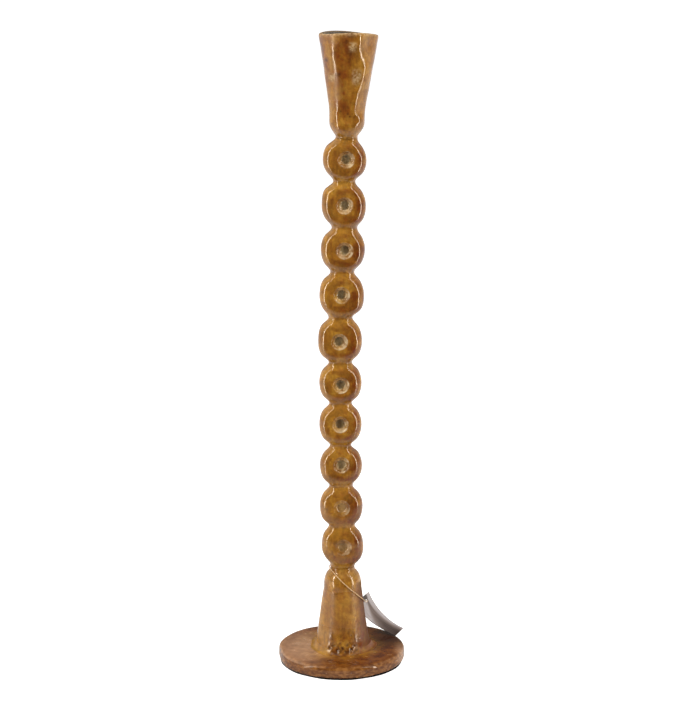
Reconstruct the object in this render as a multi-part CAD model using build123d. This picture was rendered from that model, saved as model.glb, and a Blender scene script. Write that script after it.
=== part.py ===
"""Glazed stoneware candle stand, in millimetres, +Z up, front towards -Y.

Ten pressed clay discs stand on edge, one on the next, between a shouldered
foot on a round plate and a flared candle cup. A paper tag hangs on a string
tied round the neck of the foot.
"""
import math
import os

from build123d import *

os.makedirs("parts", exist_ok=True)

# Plate, and the felt glued under it
PLATE_D = 115.0
PLATE_T = 11.0
PLATE_EDGE_R = 2.5
PLATE_UNDER_R = 1.0
FELT_T = 1.5
FELT_INSET = 2.0

# Foot: glaze run-out on the plate, cone, rounded shoulder up to the first joint
FOOT_X = 0.9
FOOT_H = 76.8
FOOT_LOW_R = 24.6
FOOT_SHOULDER_R = 17.3
SHOULDER_H = 20.0
SHOULDER_POWER = 2.6
GLAZE_R = 5.0
GLAZE_LIP = 0.5

# Discs from the foot up: height between joints, width, sideways wander
DISC_H = [38.9, 37.7, 38.0, 39.1, 37.6, 41.0, 41.2, 39.9, 41.2, 39.1]
DISC_W = [38.2, 38.7, 38.1, 38.0, 37.9, 39.2, 39.8, 39.0, 39.0, 38.1]
DISC_X = [1.0, -0.2, -0.4, -1.1, -0.8, -1.1, 0.3, 1.5, 2.1, 2.8]
DISC_DEPTH = 25.0
DISC_EDGE_R = 9.5
# Half width of each luted joint, foot to cup, the share of it that the joints
# between discs are deep, and how far the discs nip in at them
JOINT_R = [11.0, 12.0, 10.9, 9.8, 10.3, 10.4, 10.8, 10.7, 11.4, 9.8, 9.7]
JOINT_DEPTH = 0.86
NIP = 0.9

# Dimple pressed into both faces of a disc: a dish with a deeper core
DIMPLE_D = 15.8
DIMPLE_DEPTH = 2.0
DIMPLE_X = 1.5
CORE_D = 8.0
CORE_DEPTH = 4.8
CORE_DRAFT = 0.6

# Candle cup, along its own axis
CUP_X = 4.3
CUP_H = 90.3
CUP_LEAN = 1.25
CUP_NECK_H = 1.2
CUP_BELLY_R = 15.6
CUP_BELLY_Z = 12.5
CUP_WAIST_Z = 25.0
CUP_RIM_R = 26.0
CUP_LIP_T = 4.0
CUP_SWEEP_R = 60.0
SOCKET_D = 22.5
SOCKET_FLOOR = 9.5
SOCKET_L = 25.0
SOCKET_CORNER_R = 1.5

# Paper tag: bowed card, lower near corner resting by the rim of the plate
TAG_W = 21.5
TAG_CHORD = 47.2
TAG_T = 0.5
TAG_BOW_FAR = 5.3
TAG_BOW_NEAR = 8.3
TAG_SLOPE = 42.3
TAG_TURN = 68.8
TAG_CORNER = (50.2, 22.0)
TAG_HOLE_D = 4.0
TAG_HOLE_IN = 5.5

# String, and the clearance that it and the tag keep
STRING_D = 0.8
KNOT_D = 3.0
GAP = 0.45
# Where it lies on the foot: degrees round from +X, drop below the foot's top
LAY = [(155, 1.3), (182, 1.3), (209, 1.5), (231, 3.2), (252, 6.2),
       (274, 11.4), (296, 18.0), (318, 24.4), (338, 29.6), (356, 33.8)]
KNOT_ANGLE = 128
KNOT_DROP = 2.2
BACK_LAY = [(100, 10.5), (113, 5.4)]
LAY_STEP = 27
FREE_SAG = 1.6

plate_top = FELT_T + PLATE_T
foot_top = plate_top + FOOT_H
cup_z = foot_top + sum(DISC_H)
parts = {}


def xz(*points):
    """Points in the X-Z plane from (r, z) pairs."""
    return [Vector(r, 0, z) for r, z in points]


# Felt pad and plate
felt = Cylinder(PLATE_D / 2 - FELT_INSET, FELT_T, align=(Align.CENTER, Align.CENTER, Align.MIN))
parts["felt_pad"] = felt

plate = Pos(0, 0, FELT_T) * Cylinder(
    PLATE_D / 2, PLATE_T, align=(Align.CENTER, Align.CENTER, Align.MIN))
rims = plate.edges().filter_by(GeomType.CIRCLE).sort_by(Axis.Z)
plate = fillet(rims[-1], PLATE_EDGE_R)
rims = plate.edges().filter_by(GeomType.CIRCLE).sort_by(Axis.Z)
plate = fillet(rims[0], PLATE_UNDER_R)
parts["base_plate"] = plate


# Foot
shoulder_z = foot_top - SHOULDER_H
cone_z = plate_top + GLAZE_R


def foot_radius(z):
    """Radius of the foot's outside at height z, on its own axis."""
    neck = JOINT_R[0]
    if z >= shoulder_z:
        rise = min((z - shoulder_z) / SHOULDER_H, 1)
        return neck + (FOOT_SHOULDER_R - neck) * (1 - rise**SHOULDER_POWER)
    fall = (shoulder_z - z) / (shoulder_z - cone_z)
    return FOOT_SHOULDER_R + (FOOT_LOW_R - FOOT_SHOULDER_R) * fall


glaze_out = FOOT_LOW_R + GLAZE_R
glaze_mid = GLAZE_R * (1 - math.sqrt(0.5))
p = xz((0, plate_top), (glaze_out, plate_top), (glaze_out, plate_top + GLAZE_LIP),
       (FOOT_LOW_R + glaze_mid, plate_top + glaze_mid + GLAZE_LIP / 2), (FOOT_LOW_R, cone_z),
       (FOOT_SHOULDER_R, shoulder_z), (JOINT_R[0], foot_top), (0, foot_top))
shoulder = [Vector(foot_radius(shoulder_z + SHOULDER_H * rise), 0, shoulder_z + SHOULDER_H * rise)
            for rise in (0, 0.2, 0.4, 0.6, 0.8, 1)]
foot_edges = [
    Line(p[0], p[1]),
    Line(p[1], p[2]),
    ThreePointArc(p[2], p[3], p[4]),
    Line(p[4], p[5]),
    Spline(*shoulder),
    Line(p[6], p[7]),
    Line(p[7], p[0]),
]
parts["foot_column"] = Pos(FOOT_X, 0, 0) * revolve(make_face(foot_edges), Axis.Z)


# Stacked discs
def joint_x(i):
    """Sideways place of joint i, where 0 is on the foot and 10 under the cup."""
    if i == 0:
        return FOOT_X
    if i == len(DISC_H):
        return CUP_X
    return (DISC_X[i - 1] + DISC_X[i]) / 2


def dimple_cutter():
    """Stepped dish, revolved about Y, with its mouth at y = 0 and open to +Y."""
    dish_r, core_r = DIMPLE_D / 2, CORE_D / 2
    profile = Polyline((0, 1), (dish_r, 1), (dish_r, 0), (core_r + CORE_DRAFT, -DIMPLE_DEPTH),
                       (core_r - CORE_DRAFT, -CORE_DEPTH), (0, -CORE_DEPTH), close=True)
    return revolve(make_face(profile), Axis.Y)


def pressed_disc(i, low):
    """Disc i, standing on edge from height low, with its two joint stubs."""
    height, width, x = DISC_H[i], DISC_W[i], DISC_X[i]
    radius = width / 2
    nip = NIP * min(JOINT_R[i], JOINT_R[i + 1])
    straight = max(height / 2 - math.sqrt(radius**2 - nip**2), 0.2)
    middle = low + height / 2
    outline = Plane.XZ * SlotCenterToCenter(2 * straight, width, rotation=90)
    pebble = extrude(outline, DISC_DEPTH / 2, both=True)
    faces = pebble.faces().sort_by(Axis.Y)
    pebble = fillet(faces[0].edges() + faces[-1].edges(), DISC_EDGE_R)
    disc = Pos(x, 0, middle) * pebble
    disc &= Pos(x, 0, middle) * Box(2 * width, 2 * DISC_DEPTH, height)
    for joint, start in ((i, low), (i + 1, middle)):
        half_width = JOINT_R[joint]
        between_discs = 0 < joint < len(DISC_H)
        half_depth = half_width * (JOINT_DEPTH if between_discs else 1)
        stub = extrude(Ellipse(half_width, half_depth), height / 2)
        disc += Pos(joint_x(joint), 0, start) * stub
    cutter = dimple_cutter()
    for turn in (0, 180):
        disc -= Pos(x + DIMPLE_X, 0, middle) * Rot(0, 0, turn) * Pos(0, DISC_DEPTH / 2, 0) * cutter
    return disc


low = foot_top
for i, height in enumerate(DISC_H):
    parts[f"disc_{i + 1:02d}"] = pressed_disc(i, low)
    low += height


# Candle cup
def candle_cup():
    """Cup turned about its own axis, leant over and trimmed flat at its joint."""
    neck = JOINT_R[-1]
    inner_rim = CUP_RIM_R - CUP_LIP_T
    socket_r = SOCKET_D / 2
    belly = FilletPolyline((CUP_BELLY_R, CUP_BELLY_Z), (CUP_BELLY_R, CUP_WAIST_Z),
                           (CUP_RIM_R, CUP_H - CUP_LIP_T / 2), radius=CUP_SWEEP_R)
    lean_in = 0.7
    low_arc = ThreePointArc(
        (neck, CUP_NECK_H),
        (neck + (CUP_BELLY_R - neck) * lean_in, CUP_NECK_H + (CUP_BELLY_Z - CUP_NECK_H) * (1 - lean_in) * 1.6),
        (CUP_BELLY_R, CUP_BELLY_Z))
    lip = ThreePointArc((CUP_RIM_R, CUP_H - CUP_LIP_T / 2), (CUP_RIM_R - CUP_LIP_T / 2, CUP_H),
                        (inner_rim, CUP_H - CUP_LIP_T / 2))
    wall = Polyline((inner_rim, CUP_H - CUP_LIP_T / 2), (socket_r, SOCKET_FLOOR + SOCKET_L),
                    (socket_r, SOCKET_FLOOR + SOCKET_CORNER_R))
    corner_in = SOCKET_CORNER_R * (1 - math.sqrt(0.5))
    corner = ThreePointArc(wall @ 1, (socket_r - corner_in, SOCKET_FLOOR + corner_in),
                           (socket_r - SOCKET_CORNER_R, SOCKET_FLOOR))
    rest = Polyline(corner @ 1, (0, SOCKET_FLOOR), (0, -2), (neck, -2), (neck, CUP_NECK_H))
    section = make_face([edge for line in (low_arc, belly, lip, wall, corner, rest) for edge in line.edges()])
    cup = revolve(Plane.XZ * section, Axis.Z)
    cup = Pos(CUP_X, 0, cup_z) * Rot(0, CUP_LEAN, 0) * cup
    return cup - Pos(CUP_X, 0, cup_z - 5) * Box(60, 60, 10)


parts["candle_cup"] = candle_cup()

# Paper tag: `wide` runs along its width, `out` along the way it slopes
turn = math.radians(TAG_TURN)
slope = math.radians(TAG_SLOPE)
wide = Vector(math.cos(turn), math.sin(turn), 0)
out = Vector(math.sin(turn), -math.cos(turn), 0)
up = Vector(0, 0, 1)
along = up * math.sin(slope) - out * math.cos(slope)
over = up * math.cos(slope) + out * math.sin(slope)
tag_foot = Vector(TAG_CORNER[0], TAG_CORNER[1], plate_top + GAP + TAG_T / 2)


def bow(depth):
    """Radius and half angle of the arc that a card bowed by depth follows."""
    radius = (TAG_CHORD**2 / 4 + depth**2) / (2 * depth)
    return radius, math.asin(TAG_CHORD / 2 / radius)


def on_card(depth, share, off):
    """Point on a bowed edge: share -1 at the foot, 1 at the top, off the middle by off."""
    radius, half = bow(depth)
    centre = along * (TAG_CHORD / 2) + over * (radius - depth)
    angle = half * share
    return centre + (along * math.sin(angle) - over * math.cos(angle)) * (radius - off)


def card_section(depth):
    """End section of the card, in the plane across its width."""
    points = [[tag_foot + on_card(depth, share, off) for share in (-1, 0, 1)]
              for off in (TAG_T / 2, -TAG_T / 2)]
    upper, lower = points
    return make_face([
        ThreePointArc(*upper),
        Line(upper[2], lower[2]),
        ThreePointArc(*lower),
        Line(lower[0], upper[0]),
    ])


card = loft([card_section(TAG_BOW_NEAR), Pos(*(wide * TAG_W)) * card_section(TAG_BOW_FAR)], ruled=True)
mean_bow = (TAG_BOW_NEAR + TAG_BOW_FAR) / 2
mean_r, mean_half = bow(mean_bow)
hole_share = 1 - TAG_HOLE_IN / (mean_r * mean_half)
hole = tag_foot + wide * (TAG_W / 2) + on_card(mean_bow, hole_share, 0)
hole_angle = mean_half * hole_share
face_out = over * math.cos(hole_angle) - along * math.sin(hole_angle)
punch = Plane(hole, x_dir=wide, z_dir=face_out) * Cylinder(TAG_HOLE_D / 2, 6)
parts["paper_tag"] = card - punch


# String: from its knot round the neck and down the front of the foot, through
# the hole in the tag and back behind the foot to the knot
def on_foot(angle, drop, spread=0.0, reach=GAP + STRING_D / 2):
    """Point that stands square off the foot's side by reach, here the string's middle."""
    z = foot_top - drop
    fall = (foot_radius(z - 0.05) - foot_radius(z + 0.05)) / 0.1
    off = reach / math.hypot(1, fall)
    r = (foot_radius(z) + off) / math.cos(math.radians(spread) / 2)
    a = math.radians(angle)
    return Vector(FOOT_X + r * math.cos(a), r * math.sin(a), z + off * fall)


def hanging(start, end, shares):
    """Points between two ends on a slack, slightly sagging stretch."""
    return [start + (end - start) * t - up * (4 * FREE_SAG * t * (1 - t)) for t in shares]


knot = on_foot(KNOT_ANGLE, KNOT_DROP, reach=1.5 * GAP + KNOT_D / 2)
front = [on_foot(angle, drop, LAY_STEP) for angle, drop in LAY]
before = hole + face_out * 1.6
after = hole - face_out * 4.0
back = [on_foot(angle, drop, LAY_STEP) for angle, drop in BACK_LAY]
home = (back[0] - hole).normalized()
turned = after + (home * 0.83 - face_out * 0.55).normalized() * 5.0
route = [knot + (front[0] - knot).normalized() * (KNOT_D / 4)] + front
route += hanging(front[-1], before, (0.26, 0.60, 0.85)) + [before, after, turned]
route += hanging(turned, back[0], (0.14, 0.40, 0.74)) + back
route += [knot + (back[-1] - knot).normalized() * (KNOT_D / 4)]


def cord_radii(points):
    """Largest tangent arc at each inner point of a cord's route."""
    radii = []
    for a, b, c in zip(points, points[1:], points[2:]):
        half_turn = math.radians((b - a).get_angle(c - b)) / 2
        radii.append(0.45 * min((b - a).length, (c - b).length) / math.tan(half_turn))
    return radii


radii = cord_radii(route)
path = FilletPolyline(*route, radius=radii)
start = Plane(origin=path @ 0, z_dir=path % 0)
string = sweep(start * Circle(STRING_D / 2), path=path)
parts["tag_string"] = string
tied = Plane(origin=knot, z_dir=path % 0)
parts["string_knot"] = tied * (Sphere(KNOT_D / 2 - 0.2) + Torus(KNOT_D / 2 - 0.65, 0.65))

runs = [(b - a).length for a, b in zip(route, route[1:])]
print("string runs", [round(r, 1) for r in runs])
print("string radii", [round(r, 1) for r in radii])
print("string length", round(path.length, 1))
print("tube volume / section x length", round(string.volume / (math.pi * STRING_D**2 / 4 * path.length), 4))
print("tag hole", [round(v, 2) for v in hole])

for name, solid in parts.items():
    export_step(solid, f"parts/{name}.step")
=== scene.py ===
import math

import bmesh
import bpy
import numpy as np
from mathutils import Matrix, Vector
from mathutils.geometry import delaunay_2d_cdt


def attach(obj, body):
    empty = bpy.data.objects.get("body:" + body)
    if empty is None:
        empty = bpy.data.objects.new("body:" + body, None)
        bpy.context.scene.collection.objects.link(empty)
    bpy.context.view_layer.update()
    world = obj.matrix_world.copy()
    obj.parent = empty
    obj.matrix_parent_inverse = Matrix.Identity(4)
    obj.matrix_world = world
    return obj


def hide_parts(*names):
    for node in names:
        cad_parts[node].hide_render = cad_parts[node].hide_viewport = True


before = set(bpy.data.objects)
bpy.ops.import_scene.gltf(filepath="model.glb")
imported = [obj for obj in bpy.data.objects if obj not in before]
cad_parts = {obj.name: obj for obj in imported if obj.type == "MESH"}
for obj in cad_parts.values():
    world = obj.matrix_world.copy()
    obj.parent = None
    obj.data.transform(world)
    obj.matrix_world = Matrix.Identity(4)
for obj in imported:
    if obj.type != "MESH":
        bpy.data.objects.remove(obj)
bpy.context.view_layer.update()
MM = 0.001

# Heights of the joints and sizes of the discs, foot to cup, in mm
PLATE_TOP = 12.5
FOOT_TOP = 89.3
FOOT_X = 0.9
DISC_H = [38.9, 37.7, 38.0, 39.1, 37.6, 41.0, 41.2, 39.9, 41.2, 39.1]
DISC_W = [38.2, 38.7, 38.1, 38.0, 37.9, 39.2, 39.8, 39.0, 39.0, 38.1]
DISC_X = [1.0, -0.2, -0.4, -1.1, -0.8, -1.1, 0.3, 1.5, 2.1, 2.8]
DISC_HALF_DEPTH = 12.5
GLAZE_T = 0.2
JOINT_R = [11.0, 12.0, 10.9, 9.8, 10.3, 10.4, 10.8, 10.7, 11.4, 9.8, 9.7]
JOINT_DEPTH = 0.86
DIMPLE_R = 8.4
DIMPLE_X = [0.7, 0.3, 0.3, -0.1, 0.1, -0.9, -0.3, 1.3, 0.7, 1.3]
DIMPLE_Z = [1.7, 0.8, 3.2, 2.4, 0.4, 0.8, 2.0, 1.4, 1.0, 1.4]
DIMPLE_DEPTH = [2.2, 2.2, 3.8, 4.2, 4.2, 4.3, 4.3, 4.3, 4.3, 4.3]
# No two discs were pressed alike: how far each slope leans to the right, in mm, and swells
LEAN_UP = [0.0, 0.0, 0.3, -0.2, -0.2, -0.6, -0.5, -0.8, -1.2, -1.2]
LEAN_LOW = [0.9, -0.2, -0.5, 0.0, 0.1, -0.4, 0.9, 0.0, 0.5, 0.5]
SWELL_UP = [0.03, -0.04, -0.01, 0.0, 0.01, 0.03, 0.02, -0.03, 0.02, -0.08]
SWELL_LOW = [-0.09, 0.05, -0.03, 0.02, 0.01, 0.06, 0.03, -0.04, -0.01, -0.03]
CUP_X = 4.6
CUP_Z = FOOT_TOP + sum(DISC_H)
JOINT_X = [FOOT_X] + [(a + b) / 2 for a, b in zip(DISC_X, DISC_X[1:])] + [CUP_X]
# Two joints sit off the line between their discs
JOINT_X[6] -= 0.6
JOINT_X[8] += 1.0
# How far the hand moves the clay in and out, in mm
DISC_WOBBLE = 1.3
FOOT_WOBBLE = 0.8
CUP_WOBBLE = 1.2

# The camera, worked out from the plate's ellipse and the column's joints
FOCAL_PIXELS = 2324.8
PHOTO_HEIGHT_PIXELS = 708
LOOKS_DOWN = 13.622
camera = bpy.data.objects.new("camera", bpy.data.cameras.new("camera"))
bpy.context.collection.objects.link(camera)
camera.location = (0.0032, -2.0179, 0.7771)
camera.rotation_euler = (math.radians(90 - LOOKS_DOWN), 0, 0)
camera.data.sensor_fit = "AUTO"
camera.data.sensor_width = 36
camera.data.lens = camera.data.sensor_width * FOCAL_PIXELS / PHOTO_HEIGHT_PIXELS
camera.data.clip_end = 60
bpy.context.scene.camera = camera

# Sockets of a Mix node: its two numbers, its two colours, the mixed colour
NUMBER_A, NUMBER_B = 2, 3
COLOUR_A, COLOUR_B, MIXED = 6, 7, 2


def paint(code):
    """Linear colour of an sRGB hex value."""
    parts = [int(code[i:i + 2], 16) / 255 for i in (1, 3, 5)]
    return [c / 12.92 if c <= 0.04045 else ((c + 0.055) / 1.055) ** 2.4 for c in parts] + [1]


def add(tree, kind, *wires, **settings):
    """Adds a node with its settings, wires or sets its inputs in order, returns it."""
    made = tree.nodes.new(kind)
    ramp = settings.pop("ramp", None)
    curve = settings.pop("curve", None)
    named = settings.pop("named", {})
    for key, value in settings.items():
        setattr(made, key, value)
    if ramp:
        stops = made.color_ramp.elements
        while len(stops) < len(ramp):
            stops.new(0.5)
        for stop, (place, colour) in zip(stops, ramp):
            stop.position = place
            stop.color = paint(colour) if isinstance(colour, str) else [colour] * 3 + [1]
    if curve:
        points = made.mapping.curves[0].points
        while len(points) < len(curve):
            points.new(0.5, 0.5)
        for point, place in zip(points, curve):
            point.location = place
            point.handle_type = "AUTO_CLAMPED"
        made.mapping.update()
    for key, value in [*enumerate(wires), *named.items()]:
        if value is None:
            continue
        if isinstance(value, bpy.types.Node):
            value = value.outputs[0]
        if isinstance(value, bpy.types.NodeSocket):
            tree.links.new(value, made.inputs[key])
        else:
            made.inputs[key].default_value = value
    return made


def material(name):
    """Empty node material and its tree."""
    made = bpy.data.materials.new(name)
    made.use_nodes = True
    made.node_tree.nodes.clear()
    return made, made.node_tree


# Honey glaze over red clay, poured thick and fired glossy: amber mottled with ochre and rust,
# grey olive and gritty where it pools, milky round the dimples, cream where it thins,
# pitted at the foot, satin in bands on the foot and the cup, matt on the foot's right flank.
# Painted light and shade ride on these marks: ochre lightens the lit slopes and the cup's underside,
# milk carries painted glints in the dimples, cream patches on the cup are painted reflections,
# rust and crater colour paint shade on the foot's right flank, and the inside of the cup is painted shade
GLAZE_MARKS = ["ochre", "rust", "seam", "pool", "milk", "thin", "pits", "craters", "bare", "satin", "matt"]
honey_glaze, tree = material("honey_glaze")
at = add(tree, "ShaderNodeTexCoord").outputs["Object"]
marks = {name: add(tree, "ShaderNodeAttribute", attribute_name=name).outputs["Fac"]
         for name in GLAZE_MARKS}
clouds = add(tree, "ShaderNodeTexNoise", at, named={"Scale": 1 / (14 * MM), "Detail": 4.0, "Roughness": 0.6})
amber = add(tree, "ShaderNodeValToRGB", clouds,
            ramp=[(0.37, "#572b0c"), (0.45, "#7a4611"), (0.53, "#936119"), (0.62, "#b28531")])
stretch = add(tree, "ShaderNodeMapping", at, named={"Scale": (1.0, 1.0, 0.28)})
runs = add(tree, "ShaderNodeTexNoise", stretch,
           named={"Scale": 1 / (5.5 * MM), "Detail": 5.0, "Roughness": 0.62})
run_tint = add(tree, "ShaderNodeValToRGB", runs,
               ramp=[(0.38, "#6c3810"), (0.50, "#8d5816"), (0.62, "#a9792a")])
pooled = add(tree, "ShaderNodeValToRGB", runs, ramp=[(0.38, "#705731"), (0.62, "#9c865f")])
specks = add(tree, "ShaderNodeTexNoise", at, named={"Scale": 1 / (4.8 * MM), "Detail": 3.0})
lumps = add(tree, "ShaderNodeTexNoise", at, named={"Scale": 1 / (10 * MM), "Detail": 1.0})
skin = add(tree, "ShaderNodeTexNoise", at, named={"Scale": 1 / (2.3 * MM), "Detail": 3.0})
blots = add(tree, "ShaderNodeTexNoise", at, named={"Scale": 1 / (4.2 * MM), "Detail": 4.0, "Roughness": 0.6})
grit = add(tree, "ShaderNodeTexNoise", at, named={"Scale": 1 / (1.6 * MM), "Detail": 1.0})
speck = add(tree, "ShaderNodeMapRange", specks, 0.60, 0.74, 0.0, 0.8)
broken = add(tree, "ShaderNodeMapRange", specks, 0.40, 0.62, 0.3, 1.0)
rust = add(tree, "ShaderNodeMath", marks["rust"], broken, operation="MULTIPLY")
seam = add(tree, "ShaderNodeMapRange", lumps, 0.44, 0.62, 0.0, 0.6)
seam = add(tree, "ShaderNodeMath", seam, marks["seam"], operation="MULTIPLY")
seam = add(tree, "ShaderNodeMath", seam, broken, operation="MULTIPLY")
curdled = add(tree, "ShaderNodeMapRange", specks, 0.42, 0.57, 0.2, 1.0)
milk = add(tree, "ShaderNodeMath", marks["milk"], curdled, operation="MULTIPLY")
ragged = add(tree, "ShaderNodeMapRange", skin, 0.36, 0.62, 0.2, 1.0)
thin = add(tree, "ShaderNodeMath", marks["thin"], ragged, operation="MULTIPLY")
pit = add(tree, "ShaderNodeMapRange", blots, 0.48, 0.58)
pit = add(tree, "ShaderNodeMath", pit, marks["pits"], operation="MULTIPLY")
pit = add(tree, "ShaderNodeMath", pit, marks["craters"], operation="MAXIMUM")
# Layers of colour with their shares, each laid over the ones before it
tone = amber
for share, colour in (
        (0.45, run_tint),
        (speck, paint("#5a2609")),
        (marks["ochre"], paint("#ad7f2d")),
        (rust, paint("#6a300b")),
        (seam, paint("#502006")),
        (marks["pool"], pooled),
        (milk, paint("#d4c6a4")),
        (thin, paint("#b89f78")),
        (pit, paint("#42200a")),
        (marks["bare"], paint("#45403a"))):
    mixed = add(tree, "ShaderNodeMix", share, data_type="RGBA", named={COLOUR_A: tone, COLOUR_B: colour})
    tone = mixed.outputs[MIXED]
mottle = add(tree, "ShaderNodeMapRange", specks, 0.34, 0.66, 0.82, 1.16)
fine = add(tree, "ShaderNodeMapRange", skin, 0.36, 0.64, 0.88, 1.12)
mottle = add(tree, "ShaderNodeMath", mottle, fine, operation="MULTIPLY")
tone = add(tree, "ShaderNodeVectorMath", tone, operation="SCALE", named={"Scale": mottle})
bent = add(tree, "ShaderNodeBump", named={"Strength": 0.5, "Distance": 0.7 * MM, "Height": lumps})
bent = add(tree, "ShaderNodeBump", named={
    "Strength": 0.25, "Distance": 0.1 * MM, "Height": skin, "Normal": bent})
bent = add(tree, "ShaderNodeBump", invert=True, named={
    "Strength": marks["pits"], "Distance": 0.6 * MM, "Height": blots, "Normal": bent})
bent = add(tree, "ShaderNodeBump", named={
    "Strength": marks["pool"], "Distance": 0.7 * MM, "Height": grit, "Normal": bent})
gloss = add(tree, "ShaderNodeMapRange", clouds, 0.3, 0.7, 0.08, 0.14)
gloss = add(tree, "ShaderNodeMath", marks["satin"], 0.28, gloss, operation="MULTIPLY_ADD")
gloss = add(tree, "ShaderNodeMath", marks["matt"], 0.65, gloss, operation="MULTIPLY_ADD")
glaze = add(tree, "ShaderNodeBsdfPrincipled", named={
    "Base Color": tone, "Roughness": gloss, "Normal": bent, "IOR": 1.52})
add(tree, "ShaderNodeOutputMaterial", glaze)

# The same glaze thin on the plate: browner, streaked, gritty and paler on its cut edge,
# paler to the left, partly dust and partly a painted reflection, golden where it ran off the foot,
# with the tag's painted shadow dark behind the foot to the right, wet on its lip and where it is dark
dull_glaze, tree = material("honey_glaze_dull")
at = add(tree, "ShaderNodeTexCoord").outputs["Object"]
marks = {name: add(tree, "ShaderNodeAttribute", attribute_name=name).outputs["Fac"]
         for name in ("pool", "dry", "edge", "dark", "lip")}
clouds = add(tree, "ShaderNodeTexNoise", at, named={"Scale": 1 / (11 * MM), "Detail": 4.0, "Roughness": 0.58})
brown = add(tree, "ShaderNodeValToRGB", clouds,
            ramp=[(0.34, "#5a2b0f"), (0.45, "#6c3a14"), (0.54, "#7b4617"), (0.66, "#895726")])
level = add(tree, "ShaderNodeMapping", at, named={"Scale": (1.0, 1.0, 1.8)})
grains = add(tree, "ShaderNodeTexNoise", level,
             named={"Scale": 1 / (5 * MM), "Detail": 4.0, "Roughness": 0.6})
worn = add(tree, "ShaderNodeValToRGB", grains,
           ramp=[(0.34, "#5e3413"), (0.48, "#744518"), (0.64, "#8d6030")])
ragged = add(tree, "ShaderNodeMapRange", clouds, 0.38, 0.58, 0.2, 1.0)
pool = add(tree, "ShaderNodeMath", marks["pool"], ragged, operation="MULTIPLY")
patchy = add(tree, "ShaderNodeMapRange", clouds, 0.38, 0.58, 0.75, 1.1)
dry = add(tree, "ShaderNodeMath", marks["dry"], patchy, operation="MULTIPLY")
tone = brown
for share, colour in (
        (marks["edge"], worn),
        (pool, paint("#a07226")),
        (dry, paint("#c09878")),
        (marks["dark"], paint("#321300"))):
    mixed = add(tree, "ShaderNodeMix", share, data_type="RGBA", named={COLOUR_A: tone, COLOUR_B: colour})
    tone = mixed.outputs[MIXED]
lively = add(tree, "ShaderNodeMath", marks["edge"], 0.12, 0.08, operation="MULTIPLY_ADD")
mottle = add(tree, "ShaderNodeMapRange", grains, 0.36, 0.64, -1.0, 1.0)
mottle = add(tree, "ShaderNodeMath", mottle, lively, 1.0, operation="MULTIPLY_ADD")
tone = add(tree, "ShaderNodeVectorMath", tone, operation="SCALE", named={"Scale": mottle})
rough = add(tree, "ShaderNodeMapRange", marks["lip"], 0.0, 0.7, 0.5, 0.02)
bent = add(tree, "ShaderNodeBump", named={"Strength": rough, "Distance": 0.3 * MM, "Height": grains})
gloss = add(tree, "ShaderNodeMapRange", clouds, 0.3, 0.7, 0.16, 0.32)
wet = add(tree, "ShaderNodeMath", marks["lip"], 1.4, operation="MULTIPLY", use_clamp=True)
wet = add(tree, "ShaderNodeMath", wet, marks["dark"], operation="MAXIMUM")
gloss = add(tree, "ShaderNodeMix", wet, named={NUMBER_A: gloss, NUMBER_B: 0.08})
glaze = add(tree, "ShaderNodeBsdfPrincipled", named={
    "Base Color": tone, "Roughness": gloss, "Normal": bent, "IOR": 1.48, "Specular IOR Level": 0.5})
add(tree, "ShaderNodeOutputMaterial", glaze)

# Black wool felt: no gloss, matted fibres, drawn coarser than they are so that they show
felt_black, tree = material("wool_felt")
at = add(tree, "ShaderNodeTexCoord").outputs["Object"]
fibres = add(tree, "ShaderNodeTexNoise", at, named={"Scale": 1 / (1.2 * MM), "Detail": 4.0})
tone = add(tree, "ShaderNodeValToRGB", fibres, ramp=[(0.3, "#060505"), (0.7, "#181514")])
mat = add(tree, "ShaderNodeBump", named={"Strength": 0.8, "Distance": 0.3 * MM, "Height": fibres})
cloth = add(tree, "ShaderNodeBsdfPrincipled", named={
    "Base Color": tone, "Roughness": 0.95, "Normal": mat, "Specular IOR Level": 0.1})
add(tree, "ShaderNodeOutputMaterial", cloth)

# Waxed cotton string, spun, straw gold, its fibres drawn about as coarse as the string is thick
# so that they show
cotton, tree = material("cotton_string")
at = add(tree, "ShaderNodeTexCoord").outputs["Object"]
spun = add(tree, "ShaderNodeTexNoise", at, named={"Scale": 1 / (0.9 * MM), "Detail": 3.0})
tone = add(tree, "ShaderNodeValToRGB", spun, ramp=[(0.3, "#b98a52"), (0.7, "#ecd0a0")])
fuzz = add(tree, "ShaderNodeBump", named={"Strength": 0.5, "Distance": 0.1 * MM, "Height": spun})
thread = add(tree, "ShaderNodeBsdfPrincipled", named={
    "Base Color": tone, "Roughness": 0.6, "Normal": fuzz, "Sheen Weight": 0.3})
add(tree, "ShaderNodeOutputMaterial", thread)

# Silver grey card: smooth, soft sheen, a bare dark band that widens to the lower end, and a painted shadow of
# the string at the near top corner
TAG_W, TAG_LENGTH, TAG_T = 21.5, 49.9, 0.5
# Rubbed streaks, across the card and along it
RUB_W, RUB_LENGTH = 1.6, 19.96
card_grey, tree = material("grey_card")
place = add(tree, "ShaderNodeUVMap", uv_map="card")
apart = add(tree, "ShaderNodeSeparateXYZ", place)
across, up = apart.outputs["X"], apart.outputs["Y"]
grain = add(tree, "ShaderNodeMapping", place,
            named={"Scale": (TAG_W / RUB_W, TAG_LENGTH / RUB_LENGTH, 1.0)})
rub = add(tree, "ShaderNodeTexNoise", grain, named={"Scale": 1.0, "Detail": 4.0})
middle = add(tree, "ShaderNodeMath", up, 0.22, 0.40, operation="MULTIPLY_ADD")
breadth = add(tree, "ShaderNodeMath", up, -0.46, 0.47, operation="MULTIPLY_ADD")
slant = add(tree, "ShaderNodeMath", across, middle, operation="SUBTRACT")
slant = add(tree, "ShaderNodeMath", slant, breadth, operation="DIVIDE")
near_slope = add(tree, "ShaderNodeMapRange", up, 0.05, 0.75, -0.15, -0.8)
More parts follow.
